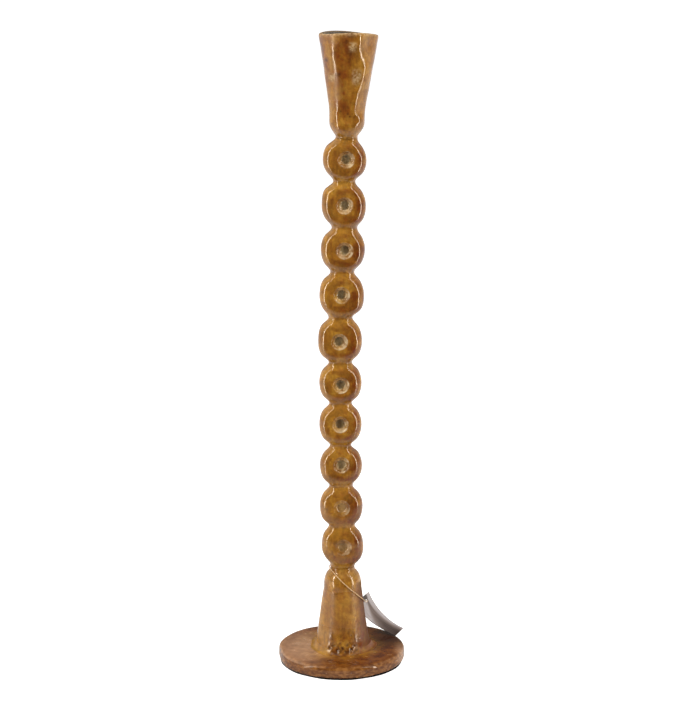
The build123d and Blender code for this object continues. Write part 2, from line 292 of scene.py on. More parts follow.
near_side = add(tree, "ShaderNodeMath", slant, near_slope, operation="MULTIPLY")
slant = add(tree, "ShaderNodeMath", slant, near_side, operation="MAXIMUM")
slant = add(tree, "ShaderNodeMath", rub, 1.4, slant, operation="MULTIPLY_ADD")
band = add(tree, "ShaderNodeMapRange", slant, 0.95, 2.0, 1.0, 0.0)
fading = add(tree, "ShaderNodeMapRange", up, 0.05, 0.7, 1.0, 0.65)
band = add(tree, "ShaderNodeMath", band, fading, operation="MULTIPLY")
# Painted shadow of the string: the near top corner, round the hole, darkened
top_end = add(tree, "ShaderNodeMapRange", up, 0.89, 0.93)
near_end = add(tree, "ShaderNodeMapRange", across, 0.72, 0.60)
corner = add(tree, "ShaderNodeMath", top_end, near_end, operation="MULTIPLY")
dark = add(tree, "ShaderNodeMath", band, corner, operation="MAXIMUM")
back = add(tree, "ShaderNodeAttribute", attribute_name="back").outputs["Fac"]
dark = add(tree, "ShaderNodeMath", dark, back, operation="MAXIMUM")
streak = add(tree, "ShaderNodeMapRange", rub, 0.35, 0.65, -0.16, 0.16)
dark = add(tree, "ShaderNodeMath", dark, streak, operation="ADD", use_clamp=True)
tone = add(tree, "ShaderNodeValToRGB", dark, ramp=[(0.0, "#b4afb3"), (0.45, "#7e716d"), (1.0, "#3a2c28")])
tooth = add(tree, "ShaderNodeBump", named={"Strength": 0.15, "Distance": 0.1 * MM, "Height": rub})
paper = add(tree, "ShaderNodeBsdfPrincipled", named={
    "Base Color": tone, "Roughness": 0.42, "Normal": tooth, "Specular IOR Level": 0.3})
add(tree, "ShaderNodeOutputMaterial", paper)


def keep(name, mesh, finish, body, node):
    """Object for a finished mesh that stands for a node."""
    piece = bpy.data.objects.new(name, mesh)
    bpy.context.collection.objects.link(piece)
    if not mesh.materials:
        mesh.materials.append(finish)
    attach(piece, body)
    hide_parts(node)
    return piece


def plain(piece):
    """Plain mesh of a piece as its modifiers or its bevel leave it."""
    piece.update_tag()
    graph = bpy.context.evaluated_depsgraph_get()
    mesh = bpy.data.meshes.new_from_object(piece.evaluated_get(graph), depsgraph=graph)
    bpy.data.objects.remove(piece)
    return mesh


# Hand wobble, one pattern for foot, discs and cup, so that their joints still meet
def wobble(tree, shape, depth):
    """Moves the clay in and out by up to depth, slowly over the surface."""
    here = add(tree, "GeometryNodeInputPosition")
    flat = add(tree, "ShaderNodeVectorMath", here, (1, 1, 0), operation="MULTIPLY")
    outward = add(tree, "ShaderNodeVectorMath", flat, operation="NORMALIZE")
    slow = add(tree, "ShaderNodeTexNoise", here, named={"Scale": 1 / (26 * MM), "Detail": 1.0})
    swing = add(tree, "ShaderNodeMath", slow, 0.5, operation="SUBTRACT")
    reach = add(tree, "ShaderNodeMath", swing, depth, operation="MULTIPLY")
    move = add(tree, "ShaderNodeVectorMath", outward, operation="SCALE", named={"Scale": reach})
    return add(tree, "GeometryNodeSetPosition", shape, named={"Offset": move})


# Pressed disc: a clay ball flattened between the thumbs, luted to its
# neighbours, with a dimple in both faces
LENGTHS = ["Low", "Height", "Half Width", "Half Depth", "Centre X", "Low Joint", "High Joint",
           "Low Joint X", "High Joint X", "Dimple X", "Dimple Z", "Dimple Radius", "Dimple Depth",
           "Wobble", "Lean Low", "Lean Up"]
SWELLS = ["Swell Low", "Swell Up"]
DRUM_SIDES, DRUM_ROWS = 288, 160
# How far the drum's rows crowd together at the joints, so that the glaze runs over them unbroken
CROWDING = 0.35
# Ways that the milky glaze with its painted glints and the rust gather: to the right and down, over a dish
# and over a face
MILK_AND_GLINT_AIM = Vector((0.6, 0, -0.25)) / (8.9 * MM)
RUST_AIM = Vector((0.62, 0, -0.25)) / (19 * MM)
disc_tree = bpy.data.node_groups.new("pressed_disc", "GeometryNodeTree")
tree = disc_tree
tree.interface.new_socket("Geometry", in_out="OUTPUT", socket_type="NodeSocketGeometry")
socket_id = {}
for label in LENGTHS + SWELLS:
    socket_id[label] = tree.interface.new_socket(
        label, in_out="INPUT", socket_type="NodeSocketFloat").identifier
socket_id["Glaze"] = tree.interface.new_socket(
    "Glaze", in_out="INPUT", socket_type="NodeSocketMaterial").identifier
size = add(tree, "NodeGroupInput").outputs
drum = add(tree, "GeometryNodeMeshCylinder", DRUM_SIDES, DRUM_ROWS, 1, 1.0, 1.0)
here = add(tree, "ShaderNodeSeparateXYZ", add(tree, "GeometryNodeInputPosition"))
angle = add(tree, "ShaderNodeMath", here.outputs[1], here.outputs[0], operation="ARCTAN2")
rise = add(tree, "ShaderNodeMath", here.outputs[2], 0.5, operation="ADD")
wave = add(tree, "ShaderNodeMath", rise, 2 * math.pi, operation="MULTIPLY")
wave = add(tree, "ShaderNodeMath", wave, operation="SINE")
rise = add(tree, "ShaderNodeMath", wave, -CROWDING / (2 * math.pi), rise, operation="MULTIPLY_ADD")
share = add(tree, "ShaderNodeMath", rise, 2.0, -1.0, operation="MULTIPLY_ADD")
upper = add(tree, "ShaderNodeMath", share, 0.0, operation="GREATER_THAN")
share = add(tree, "ShaderNodeMath", share, operation="ABSOLUTE")
ends = {label: add(tree, "ShaderNodeMix", upper, named={NUMBER_A: size[low], NUMBER_B: size[high]})
        for label, low, high in (
            ("joint", "Low Joint", "High Joint"), ("joint_x", "Low Joint X", "High Joint X"),
            ("lean", "Lean Low", "Lean Up"), ("swell", "Swell Low", "Swell Up"))}
joint_y = add(tree, "ShaderNodeMath", ends["joint"], JOINT_DEPTH, operation="MULTIPLY")
# Outline of half a disc from its middle to its joint, seen from the front and the side
front = add(tree, "ShaderNodeFloatCurve", 1.0, share, curve=[
    (0, 1), (0.15, 0.980), (0.27, 0.941), (0.40, 0.860), (0.54, 0.736), (0.67, 0.545),
    (0.79, 0.295), (0.87, 0.135), (0.94, 0.035), (1, 0)])
side = add(tree, "ShaderNodeFloatCurve", 1.0, share, curve=[
    (0, 1), (0.35, 0.985), (0.50, 0.94), (0.62, 0.83), (0.72, 0.64), (0.81, 0.38), (0.89, 0.14),
    (0.95, 0.03), (1, 0)])
# The slopes lean and swell most half way up
halfway = add(tree, "ShaderNodeMath", front, front, operation="MULTIPLY")
halfway = add(tree, "ShaderNodeMath", front, halfway, operation="SUBTRACT")
halfway = add(tree, "ShaderNodeMath", halfway, 4.0, operation="MULTIPLY")
front = add(tree, "ShaderNodeMath", ends["swell"], halfway, front, operation="MULTIPLY_ADD")
half_x = add(tree, "ShaderNodeMix", front, named={NUMBER_A: ends["joint"], NUMBER_B: size["Half Width"]})
half_y = add(tree, "ShaderNodeMix", side, named={NUMBER_A: joint_y, NUMBER_B: size["Half Depth"]})
middle_x = add(tree, "ShaderNodeMix", front, named={NUMBER_A: ends["joint_x"], NUMBER_B: size["Centre X"]})
middle_x = add(tree, "ShaderNodeMath", ends["lean"], halfway, middle_x, operation="MULTIPLY_ADD")
# Each row is a rounded oblong: squarer in the middle, an ellipse at the joints
square = add(tree, "ShaderNodeMath", front, 0.5, 2.0, operation="MULTIPLY_ADD")
cosine = add(tree, "ShaderNodeMath", angle, operation="COSINE")
sine = add(tree, "ShaderNodeMath", angle, operation="SINE")
across = add(tree, "ShaderNodeMath", cosine, operation="ABSOLUTE")
across = add(tree, "ShaderNodeMath", across, half_x, operation="DIVIDE")
across = add(tree, "ShaderNodeMath", across, square, operation="POWER")
deep = add(tree, "ShaderNodeMath", sine, operation="ABSOLUTE")
deep = add(tree, "ShaderNodeMath", deep, half_y, operation="DIVIDE")
deep = add(tree, "ShaderNodeMath", deep, square, operation="POWER")
whole = add(tree, "ShaderNodeMath", across, deep, operation="ADD")
root = add(tree, "ShaderNodeMath", -1.0, square, operation="DIVIDE")
radius = add(tree, "ShaderNodeMath", whole, root, operation="POWER")
x = add(tree, "ShaderNodeMath", radius, cosine, middle_x, operation="MULTIPLY_ADD")
y = add(tree, "ShaderNodeMath", radius, sine, operation="MULTIPLY")
z = add(tree, "ShaderNodeMath", rise, size["Height"], size["Low"], operation="MULTIPLY_ADD")
# Dimple, a dish with a deeper core, pressed straight in along Y
dish_x = add(tree, "ShaderNodeMath", size["Centre X"], size["Dimple X"], operation="ADD")
dish_z = add(tree, "ShaderNodeMath", size["Height"], 0.5, size["Low"], operation="MULTIPLY_ADD")
dish_z = add(tree, "ShaderNodeMath", dish_z, size["Dimple Z"], operation="ADD")
spot = add(tree, "ShaderNodeCombineXYZ", add(tree, "ShaderNodeMath", x, dish_x, operation="SUBTRACT"), 0.0,
           add(tree, "ShaderNodeMath", z, dish_z, operation="SUBTRACT"))
off = add(tree, "ShaderNodeVectorMath", spot, operation="LENGTH").outputs["Value"]
off = add(tree, "ShaderNodeMath", off, size["Dimple Radius"], operation="DIVIDE", use_clamp=True)
press = add(tree, "ShaderNodeFloatCurve", 1.0, off, curve=[
    (0, 1), (0.25, 0.99), (0.40, 0.95), (0.47, 0.84), (0.54, 0.52), (0.60, 0.41), (0.70, 0.34),
    (0.76, 0.25), (0.83, 0.06), (0.89, 0.01), (1, 0)])
push = add(tree, "ShaderNodeMath", press, size["Dimple Depth"], operation="MULTIPLY")
facing = add(tree, "ShaderNodeMath", y, operation="SIGN")
push = add(tree, "ShaderNodeMath", push, facing, operation="MULTIPLY")
y = add(tree, "ShaderNodeMath", y, push, operation="SUBTRACT")
# Milky glaze gathers on the dish round the core, more to the lower right, and pools grey in the core;
# its two pale rings are partly painted glints off the dish's walls
gather = add(tree, "ShaderNodeFloatCurve", 1.0, off, curve=[
    (0, 0), (0.42, 0), (0.52, 0.65), (0.62, 0.5), (0.74, 0.55), (0.84, 0.7), (0.93, 0.12), (1, 0)])
aim = add(tree, "ShaderNodeVectorMath", spot, MILK_AND_GLINT_AIM, operation="DOT_PRODUCT").outputs["Value"]
aim = add(tree, "ShaderNodeMath", aim, 0.52, operation="ADD", use_clamp=True)
gather = add(tree, "ShaderNodeMath", gather, aim, operation="MULTIPLY")
sunk = add(tree, "ShaderNodeMapRange", size["Dimple Depth"], 2.0 * MM, 4.0 * MM, 0.5, 1.0)
gather = add(tree, "ShaderNodeMath", gather, sunk, operation="MULTIPLY")
in_core = add(tree, "ShaderNodeMapRange", off, 0.40, 0.62, 1.0, 0.0)
in_core = add(tree, "ShaderNodeMath", in_core, sunk, operation="MULTIPLY")
# Rust breaks through round the face, most to the lower right, and along a bent seam
apart = add(tree, "ShaderNodeSeparateXYZ", add(tree, "ShaderNodeVectorMath", spot, operation="ABSOLUTE"))
apart = add(tree, "ShaderNodeMath", apart.outputs[0], apart.outputs[2], 6 * MM, operation="SMOOTH_MAX")
apart = add(tree, "ShaderNodeMath", apart, 18 * MM, operation="DIVIDE", use_clamp=True)
rusty = add(tree, "ShaderNodeFloatCurve", 1.0, apart, curve=[
    (0, 0), (0.48, 0.1), (0.60, 0.75), (0.74, 1), (0.86, 0.35), (1, 0)])
pressed_at = add(tree, "ShaderNodeCombineXYZ", x, y, z)
bends = add(tree, "ShaderNodeTexNoise", pressed_at, named={"Scale": 1 / (13 * MM), "Detail": 1.0})
bends = add(tree, "ShaderNodeMapRange", bends, 0.3, 0.7, -0.12, 0.12)
seamed = add(tree, "ShaderNodeMath", apart, bends, operation="ADD", use_clamp=True)
seamed = add(tree, "ShaderNodeFloatCurve", 1.0, seamed, curve=[
    (0, 0), (0.46, 0), (0.57, 0.9), (0.66, 0.8), (0.82, 0), (1, 0)])
low_right = add(tree, "ShaderNodeVectorMath", spot, RUST_AIM, operation="DOT_PRODUCT").outputs["Value"]
low_right = add(tree, "ShaderNodeMath", low_right, 0.45, operation="ADD", use_clamp=True)
rusty = add(tree, "ShaderNodeMath", rusty, low_right, operation="MULTIPLY")
# Painted light: ochre on both slopes, more to the upper left where the light falls, less to the lower right
painted_light_on_slopes = add(tree, "ShaderNodeFloatCurve", 1.0, rise, curve=[
    (0, 0.25), (0.12, 0.25), (0.28, 0.15), (0.60, 0.05), (0.75, 0.18), (0.88, 0.28), (1, 0.3)])
painted_light_on_slopes = add(tree, "ShaderNodeMath", low_right, -0.35, painted_light_on_slopes, operation="MULTIPLY_ADD")
painted_light_on_slopes = add(tree, "ShaderNodeMath", painted_light_on_slopes, 0.26, operation="ADD", use_clamp=True)
clay = drum
stored = {"milk": gather, "pool": in_core, "rust": rusty, "seam": seamed, "ochre": painted_light_on_slopes}
for label, value in stored.items():
    clay = add(tree, "GeometryNodeStoreNamedAttribute", clay, None, label, value,
               data_type="FLOAT", domain="POINT")
clay = add(tree, "GeometryNodeSetPosition", clay, named={"Position": pressed_at})
clay = wobble(tree, clay, size["Wobble"])
caps = add(tree, "FunctionNodeBooleanMath", drum.outputs["Top"], drum.outputs["Bottom"], operation="OR")
walls = add(tree, "FunctionNodeBooleanMath", caps, operation="NOT")
clay = add(tree, "GeometryNodeSetShadeSmooth", clay, None, walls)
clay = add(tree, "GeometryNodeRealizeInstances", clay)
clay = add(tree, "GeometryNodeSetMaterial", clay, None, size["Glaze"])
add(tree, "NodeGroupOutput", clay)

low = FOOT_TOP
for i, height in enumerate(DISC_H):
    name = f"disc_{i + 1:02d}"
    blank = bpy.data.objects.new(name + "_blank", bpy.data.meshes.new(name))
    bpy.context.collection.objects.link(blank)
    thumbs = blank.modifiers.new("press", "NODES")
    thumbs.node_group = disc_tree
    lengths = [low, height, DISC_W[i] / 2 + GLAZE_T, DISC_HALF_DEPTH, DISC_X[i], JOINT_R[i], JOINT_R[i + 1],
               JOINT_X[i], JOINT_X[i + 1], DIMPLE_X[i], DIMPLE_Z[i], DIMPLE_R, DIMPLE_DEPTH[i],
               DISC_WOBBLE, LEAN_LOW[i], LEAN_UP[i]]
    for label, value in zip(LENGTHS, lengths):
        thumbs[socket_id[label]] = value * MM
    for label, value in zip(SWELLS, (SWELL_LOW[i], SWELL_UP[i])):
        thumbs[socket_id[label]] = value
    thumbs[socket_id["Glaze"]] = honey_glaze
    keep(f"pressed_{name}", plain(blank), honey_glaze, "stand", name)
    low += height


# Turned pieces
wobble_tree = bpy.data.node_groups.new("hand_wobble", "GeometryNodeTree")
wobble_tree.interface.new_socket("Geometry", in_out="OUTPUT", socket_type="NodeSocketGeometry")
wobble_tree.interface.new_socket("Geometry", in_out="INPUT", socket_type="NodeSocketGeometry")
depth_id = wobble_tree.interface.new_socket(
    "Depth", in_out="INPUT", socket_type="NodeSocketFloat").identifier
size = add(wobble_tree, "NodeGroupInput").outputs
add(wobble_tree, "NodeGroupOutput", wobble(wobble_tree, size["Geometry"], size["Depth"]))


def rounded(points, cut_back, count):
    """Profile whose corners are replaced by small arcs of count points."""
    out = [points[0]]
    for a, b, c in zip(points, points[1:], points[2:]):
        a, b, c = np.array(a, float), np.array(b, float), np.array(c, float)
        p = b + (a - b) * min(0.5, cut_back / np.hypot(*(a - b)))
        q = b + (c - b) * min(0.5, cut_back / np.hypot(*(c - b)))
        for s in np.linspace(0, 1, count):
            out.append((1 - s) ** 2 * p + 2 * s * (1 - s) * b + s ** 2 * q)
    return out + [points[-1]]


def even_rows(points, step):
    """Profile walked in even steps: (r, z) rows in mm."""
    points = np.array(points, float)
    gaps = np.hypot(*np.diff(points, axis=0).T)
    along = np.concatenate([[0], np.cumsum(gaps)])
    walk = np.linspace(0, along[-1], int(along[-1] / step) + 1)
    return np.column_stack([np.interp(walk, along, points[:, k]) for k in (0, 1)])


def turned(name, rows, around, place):
    """Mesh from a profile of (r, z) rows; place(r, angle, z) gives its points in mm."""
    angles = np.linspace(0, 2 * np.pi, around, endpoint=False)
    places = np.stack(np.broadcast_arrays(*place(rows[:, :1], angles, rows[:, 1:])), axis=-1)
    last = len(rows) - 1
    faces = []
    for k in range(last):
        for j in range(around):
            n = (j + 1) % around
            faces.append((k * around + j, k * around + n, (k + 1) * around + n, (k + 1) * around + j))
    faces.append(tuple(range(around))[::-1])
    faces.append(tuple(last * around + j for j in range(around)))
    mesh = bpy.data.meshes.new(name)
    mesh.from_pydata((places.reshape(-1, 3) * MM).tolist(), [], faces)
    mesh.polygons.foreach_set("use_smooth", [True] * (len(faces) - 2) + [False] * 2)
    mesh.update()
    return mesh


def worked(mesh, depth):
    """The turned mesh after the hand wobble, as a plain mesh."""
    blank = bpy.data.objects.new(mesh.name + "_blank", mesh)
    bpy.context.collection.objects.link(blank)
    hand = blank.modifiers.new("hand", "NODES")
    hand.node_group = wobble_tree
    hand[depth_id] = depth * MM
    return plain(blank)


def points_of(mesh):
    """X, Y and Z of a mesh's points, in mm."""
    places = np.empty(len(mesh.vertices) * 3, np.float32)
    mesh.vertices.foreach_get("co", places)
    return places.reshape(-1, 3).T / MM


def mark(mesh, name, values):
    """Stores one number per point for the glaze to read."""
    layer = mesh.attributes.new(name, "FLOAT", "POINT")
    layer.data.foreach_set("value", np.clip(values, 0, 1).astype(np.float32))


def fade(values, middle, reach, power=2):
    """1 at the middle, falling off softly at the reach, or more squarely with a higher power."""
    return np.exp(-((values - middle) / reach) ** power)


def slope(values, start, end):
    """0 up to start, 1 from end on, straight between."""
    return np.clip((values - start) / (end - start), 0, 1)


def turn_from(bearing, angle):
    """Turn from a bearing in degrees to angles in radians, the short way round."""
    return (angle - math.radians(bearing) + math.pi) % (2 * math.pi) - math.pi


# Foot: run-out on the plate, cone, shoulder up to the first joint
SHOULDER_Z, SHOULDER_R, SHOULDER_H, SHOULDER_POWER = 69.3, 17.3, 20.0, 2.6
shoulder = [(JOINT_R[0] + (SHOULDER_R - JOINT_R[0]) * (1 - q ** SHOULDER_POWER), SHOULDER_Z + SHOULDER_H * q)
            for q in np.linspace(0, 0.50, 9)]
foot_line = [(33.5, 12.2), (30.0, 12.5), (27.5, 13.2), (25.9, 14.8), (24.9, 17.4), (24.2, 20.8), (23.5, 25.0),
             (22.4, 31.0), (20.2, 47.0)]
foot_line += shoulder
foot_line += [(15.4, 81.6), (14.4, 83.3), (13.1, 84.9), (12.0, 86.1), (11.3, 87.2),
              (JOINT_R[0], FOOT_TOP - 1), (JOINT_R[0], FOOT_TOP)]
FOOT_SIDES = 300
# Craters in the thick glaze low on the front: bearing in degrees, height, radius and depth in mm
CRATERS = [(-118, 17.5, 1.6, 0.8), (-108, 20.5, 1.3, 0.6), (-101, 16.4, 1.8, 0.9), (-96, 22.5, 1.2, 0.5),
           (-90, 18.2, 1.9, 0.9), (-84, 15.6, 1.5, 0.8), (-79, 21.0, 1.4, 0.6), (-72, 17.2, 1.8, 0.9),
           (-64, 19.5, 1.3, 0.6), (-70, 29.0, 1.0, 0.4), (-74, 45.0, 0.9, 0.3), (-49, 26.0, 1.0, 0.4)]
# The left of the front is pared a little flatter: bearing, lean of the wall and reach, in radians
PARED_BEARING, PARED_LEAN, PARED_REACH = 240, 0.11, 0.40


def crater_depth(r, angle, z):
    """How far the craters sink the surface, in mm."""
    sunk = 0.0
    for bearing, height, radius, deep in CRATERS:
        across = r * turn_from(bearing, angle)
        sunk = sunk + deep * np.exp(-(across ** 2 + (z - height) ** 2) / (0.7 * radius ** 2))
    return sunk


def on_foot(r, angle, z):
    """Points of the foot: uneven run-out, craters, pared front."""
    low = np.maximum(0, 1 - (z - PLATE_TOP) / 10)
    uneven = 0.9 * np.sin(3 * angle + 0.6) + 0.7 * np.sin(5 * angle + 2.0) + 0.5 * np.sin(8 * angle)
    r = r + low * uneven - crater_depth(r, angle, z)
    turn = turn_from(PARED_BEARING, angle)
    r = r + r * PARED_LEAN * turn * fade(turn, 0, PARED_REACH * math.sqrt(2)) * slope(z, 84, 76)
    return FOOT_X + r * np.cos(angle), r * np.sin(angle), z


foot = worked(turned("foot", even_rows(rounded(foot_line, 1.5, 4), 0.5), FOOT_SIDES, on_foot), FOOT_WOBBLE)
x, y, height = points_of(foot)
side = x - FOOT_X
round_foot = np.hypot(side, y)
crusted = fade(side, 1, 15, 4) * fade(height, 19, 9) * (y < 0)
mark(foot, "pits", 0.8 * crusted)
sunken = 1.3 * crater_depth(round_foot, np.arctan2(y, side), height)
# Painted shade beside the tag: the foot's right flank takes the craters' dark colour, and is made matt
far_right = slope(side / round_foot, 0.70, 0.98) * (height > 16) * (height < 76)
mark(foot, "craters", np.maximum(sunken, 0.6 * far_right))
mark(foot, "matt", far_right)
skirt = slope(height, 15, 12.6)
leftward = slope(side, -6, -14)
left_low = slope(side, -10, -16) * fade(height, 24, 16)
mark(foot, "ochre", 0.22 - 0.22 * crusted + 0.25 * skirt * leftward + 0.4 * left_low)
# Painted shade: rust colour down the foot's right edge, beside the tag
shaded = 0.9 * slope(side, 11, 17) * (height < 74)
mark(foot, "rust", np.maximum(0.75 * skirt * (1 - leftward), shaded))
mark(foot, "pool", 0.15 * fade(height, 85, 5))
dull = 0.9 * fade(height, 52, 20, 4) * slope(side, 17, 14)
mark(foot, "satin", dull + fade(height, 14, 5) * (abs(side) > 15))
keep("foot", foot, honey_glaze, "stand", "foot_column")

# Candle cup: neck, belly, waist, flare, rolled lip, socket
cup_line = [(JOINT_R[-1], 0), (JOINT_R[-1], 0.9), (10.2, 1.9), (11.8, 4.0), (13.8, 6.8), (15.1, 9.6),
            (15.6, 12.5), (15.65, 16.0), (15.75, 22.0), (16.3, 28.0), (17.4, 35.0), (19.0, 45.0),
            (21.0, 57.5), (23.2, 71.0), (25.2, 83.5), (26.0, 88.0), (25.6, 89.6), (24.2, 90.3),
            (22.8, 89.6), (21.6, 87.5), (18.3, 70.0), (14.6, 52.0), (11.25, 34.5), (11.25, 11.0),
            (10.8, 9.9), (9.6, 9.5), (0.4, 9.5)]
CUP_SIDES = 180
CUP_LEAN = math.radians(1.25)
# The wall right of the front is pressed in waves: bearing, reach in radians, and how far
# it leans round, in radians, at heights up the wall
PRESS_BEARING, PRESS_REACH = 303, 0.33
PRESS_Z = [0, 8, 12, 16, 19, 22, 25, 30, 42, 55, 63, 68, 75, 81, 90]
PRESS_LEAN = [0, 0.10, 0.02, -0.24, -0.14, 0.06, 0.20, 0.22, 0.02, -0.21, -0.18, -0.04, 0.10, 0.40, 0.38]
up_wall = np.arange(-3, 95, 0.5)
eased = np.exp(-np.linspace(-2, 2, 9) ** 2)
lean_wall = np.convolve(np.interp(up_wall, PRESS_Z, PRESS_LEAN), eased / eased.sum(), "same")


def on_cup(r, angle, z):
    """Points of the cup: pressed wall, lean, waved rim."""
    turn = turn_from(PRESS_BEARING, angle)
    outer_wall = (r > 15) & (z > 3)
    lean = np.interp(z, up_wall, lean_wall) * outer_wall
    r = r - r * lean * turn * fade(turn, 0, PRESS_REACH * math.sqrt(2))
    x = r * np.cos(angle)
    y = r * np.sin(angle)
    lift = -x * math.sin(CUP_LEAN) * slope(z, 0, 12)
    # The rim stands highest at the front and dips at the back right
    near_rim = np.maximum(0, (z - 50) / 40) ** 2
    wave = 0.5 - 1.7 * np.sin(angle) - 0.2 * np.cos(angle) - 0.75 * (np.cos(2 * angle) + np.sin(2 * angle))
    return CUP_X + x + z * math.tan(CUP_LEAN), y, CUP_Z + z + lift + near_rim * wave


cup_rows = even_rows(rounded(cup_line, 2.0, 5), 0.6)
past_lip = np.repeat(np.arange(len(cup_rows)) - np.argmax(cup_rows[:, 1]), CUP_SIDES)
cup = worked(turned("cup", cup_rows, CUP_SIDES, on_cup), CUP_WOBBLE)
x, y, z = points_of(cup)
side = x - CUP_X
height = z - CUP_Z
outside = past_lip <= 3
front_out = outside * (y < 0)
on_lip = fade(past_lip, 0, 4.0)
back_lip = on_lip * (y > 6)
# Painted reflections as pale patches: side, height, half width, half height. Iron spots: side, height, radius
PAINTED_REFLECTIONS = [(5.4, 81.0, 3.4, 4.0), (8.9, 54.5, 4.0, 6.6), (-13.0, 53.8, 3.0, 3.4)]
SPOTS = [(0.0, 86.5, 1.2), (-17.5, 68.6, 1.3), (1.0, 22.3, 1.0), (2.6, 20.0, 0.8), (-5.0, 24.5, 0.8),
         (-6.5, 57.0, 1.3)]
painted_reflection = sum(fade(side, across, wide, 4) * fade(height, high, tall, 4) for across, high, wide, tall in PAINTED_REFLECTIONS)
spots = sum(fade(side, across, radius) * fade(height, high, radius) for across, high, radius in SPOTS)
# Cream where the glaze thins at the lip, and the pale patches, which are painted reflections
mark(cup, "thin", np.maximum(on_lip * np.where(y < 6, 1.0, 0.25), 0.85 * painted_reflection * front_out))
mark(cup, "craters", 0.8 * spots * front_out)
# Inside the cup and on the back of the lip: grey olive pooled glaze under darker grey brown, painted shade
mark(cup, "pool", np.maximum(0.9 * ~outside, 0.7 * back_lip))
mark(cup, "bare", np.maximum(0.95 * ~outside, 0.8 * back_lip))
# Golden to the right and low on the left; golden under the cup is painted light against its shade
golden = 0.35 * slope(side, 3, 12) + 0.5 * fade(side, -14, 5) * fade(height, 32, 20)
mark(cup, "ochre", (0.05 + golden + 0.5 * slope(height, 9, 4)) * outside)
rusty = 0.12 + 0.6 * fade(side, -4, 5) * fade(height, 60, 26, 4)
rusty += 0.5 * fade(side, -1, 7) * fade(height, 28, 14)
mark(cup, "rust", rusty * outside)
dull = fade(height, 44, 13, 4) + 0.12 * slope(height, 50, 58) + 0.6 * slope(height, 80, 84)
mark(cup, "satin", dull * slope(side, 2, -8))
keep("candle_cup_body", cup, honey_glaze, "stand", "candle_cup")

# Plate: cut by hand from a slab, edge softened, not quite round
PLATE_R, PLATE_SIDES = 57.5, 220
FELT_R, FELT_T, FELT_SIDES = 56.5, 1.5, 180
plate_line = [(0.5, PLATE_TOP), (20.0, PLATE_TOP), (40.0, PLATE_TOP), (52.8, PLATE_TOP), (55.9, 11.8),
              (57.2, 10.3), (PLATE_R, 8.4), (PLATE_R, 3.0), (56.9, 1.7), (55.5, FELT_T), (0.5, FELT_T)]


def on_plate(r, angle, z):
    """Points of the plate: hand-cut edge, left end cut away in front, a little deeper than wide."""
    edge = slope(r, 40, 57)
    cut = 0.3 * np.sin(2 * angle + 0.4) + 0.2 * np.sin(5 * angle + 1.1) + 0.15 * np.sin(9 * angle + 0.3)
    from_left = angle - math.pi
    cut = cut - 5.0 * from_left * fade(from_left, 0, 0.28)
    r = r + cut * edge
    # Undercut at the felt
    deeper = 1 + 0.022 * slope(z, FELT_T, FELT_T + 6)
    lift = 0.3 * edge * np.sin(3 * angle) * (z > 8)
    return r * np.cos(angle), deeper * r * np.sin(angle), z + lift


plate = turned("plate", even_rows(rounded(plate_line, 1.6, 6), 0.6)[::-1], PLATE_SIDES, on_plate)
x, y, z = points_of(plate)
off_foot = np.hypot(x - FOOT_X, y)
off_middle = np.hypot(x, y)
mark(plate, "pool", (40 - off_foot + 8 * slope(x, -8, -23)) / 10)
# Paler to the left, partly dusty glaze and partly a painted reflection; paler at the rim's right end, rubbed
dust_and_painted_reflection = fade(x, -34, np.where(x > -34, 16, 28)) * fade(y, -4, 40)
rubbed = 0.7 * fade(x, 55, 5) * fade(y, -8, 18)
mark(plate, "dry", 0.95 * dust_and_painted_reflection * (z > 10.5) + rubbed)
mark(plate, "lip", fade(off_middle, 56.6, 2.5) * (z > 8.5))
# Painted shadow of the tag: dark behind the foot to the right; darker also at the front middle
mark(plate, "dark", 0.95 * fade(x, 42, 19) * fade(y, 16, 21) + 0.3 * fade(x, 0, 20) * fade(y, -45, 8))
mark(plate, "edge", 0.85 * slope(off_middle, 53.5, 56))
keep("plate", plate, dull_glaze, "stand", "base_plate")

# Felt pad: cut with scissors a little inside the plate's edge
felt_line = [(0.5, FELT_T), (56.0, FELT_T), (FELT_R, 1.2), (FELT_R, 0.2), (56.2, 0.0), (0.5, 0.0)]


def on_felt(r, angle, z):
    """Points of the felt: its edge snipped unevenly."""
    snip = 0.25 * np.sin(7 * angle) + 0.2 * np.sin(13 * angle + 1.0)
    r = r + snip * (r > 50)
    return r * np.cos(angle), r * np.sin(angle), z


felt = turned("felt", even_rows(rounded(felt_line, 0.3, 3), 0.5)[::-1], FELT_SIDES, on_felt)
keep("felt_disc", felt, felt_black, "stand", "felt_pad")

# Tag: bowed card with a punched hole
TAG_TURN, TAG_SLOPE = math.radians(68.8), math.radians(42.3)
wide = Vector((math.cos(TAG_TURN), math.sin(TAG_TURN), 0))
out = Vector((math.sin(TAG_TURN), -math.cos(TAG_TURN), 0))
up = Vector((0, 0, 1))
along = up * math.sin(TAG_SLOPE) - out * math.cos(TAG_SLOPE)
over = up * math.cos(TAG_SLOPE) + out * math.sin(TAG_SLOPE)
tag_foot = Vector((50.2, 22.0, 13.2))
TAG_CHORD = 47.2
# The card bows along its length and its near edge sags further, most above the middle
TAG_BOW, NEAR_SAG = 5.3, 4.6
TAG_COLUMNS, TAG_ROWS = 13, 31
HOLE_R, HOLE_INSET, HOLE_SIDES = 1.5, 5.5, 24
# No point of the card's grid lies nearer to the hole's middle than this
HOLE_CLEAR = 2.6
hole_at = Vector((TAG_W / 2, TAG_LENGTH - HOLE_INSET))


